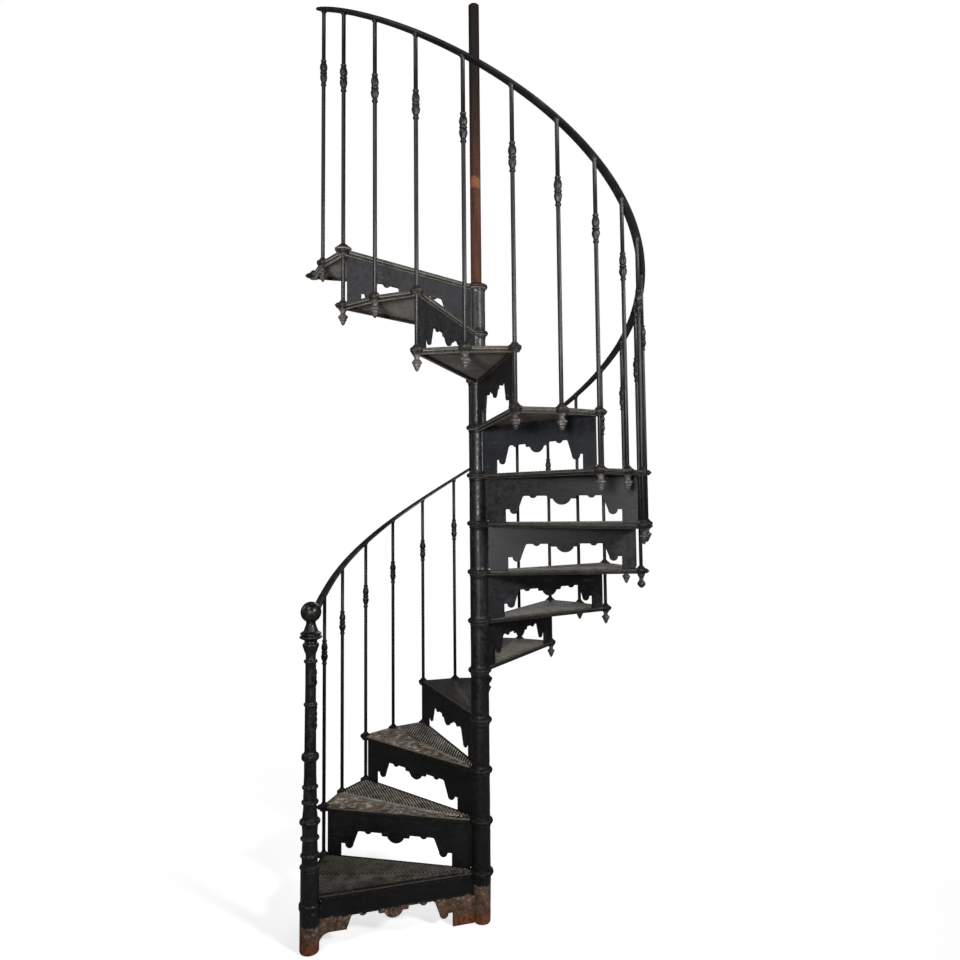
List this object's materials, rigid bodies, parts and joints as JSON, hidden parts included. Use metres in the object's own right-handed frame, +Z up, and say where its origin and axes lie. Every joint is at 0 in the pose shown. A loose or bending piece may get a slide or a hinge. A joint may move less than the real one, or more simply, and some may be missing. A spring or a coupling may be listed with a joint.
{
  "type": "cast-iron spiral staircase",
  "caption": "Iron spiral staircase with wedge treads on a centre pipe, scalloped open risers, slim knopped balusters and a half-round handrail on a ball-topped newel.",
  "frame": {"origin": "middle of the column's foot, on the floor", "axes": "+Z up along the centre pipe; seen from above the first riser and the newel lie at 197.5 degrees from +X and the steps rise clockwise"},
  "size_m": [1.4103, 1.4109, 3.845],
  "materials": {
    "column_foot": "rusty, worn black paint near the top",
    "column": "old black paint, satin",
    "centre_pipe": "bare red-brown iron, rust-stained",
    "newel": "old black paint, rusty at the foot",
    "newel_ball": "worn black paint, slightly polished by hands",
    "tread": "worn black paint over brown-grey iron",
    "first_riser": "black paint above, bare rusty iron below",
    "riser": "old black paint, satin",
    "handrail": "dark grey paint worn by hands",
    "baluster": "dark grey paint, satin",
    "pendant": "dark grey paint, some pink-brown rust"
  },
  "bodies": {
    "root": {"column_foot": "column_foot", "column_drums": "column", "centre_pipe": "centre_pipe", "newel_post": "newel", "newel_ball": "newel_ball", "tread_01": "tread", "tread_02": "tread", "tread_03": "tread", "tread_04": "tread", "tread_05": "tread", "tread_06": "tread", "tread_07": "tread", "tread_08": "tread", "tread_09": "tread", "tread_10": "tread", "tread_11": "tread", "tread_12": "tread", "tread_13": "tread", "riser_01": "first_riser", "riser_02": "riser", "riser_03": "riser", "riser_04": "riser", "riser_05": "riser", "riser_06": "riser", "riser_07": "riser", "riser_08": "riser", "riser_09": "riser", "riser_10": "riser", "riser_11": "riser", "riser_12": "riser", "riser_13": "riser", "handrail_1": "handrail", "handrail_2": "handrail", "handrail_3": "handrail", "handrail_4": "handrail", "corner_balusters_lower": "baluster", "corner_balusters_upper": "baluster", "middle_balusters_lower": "baluster", "middle_balusters_upper": "baluster", "corner_pendants_lower": "pendant", "corner_pendants_upper": "pendant", "middle_pendants_lower": "pendant", "middle_pendants_upper": "pendant"}
  },
  "joints": []
}
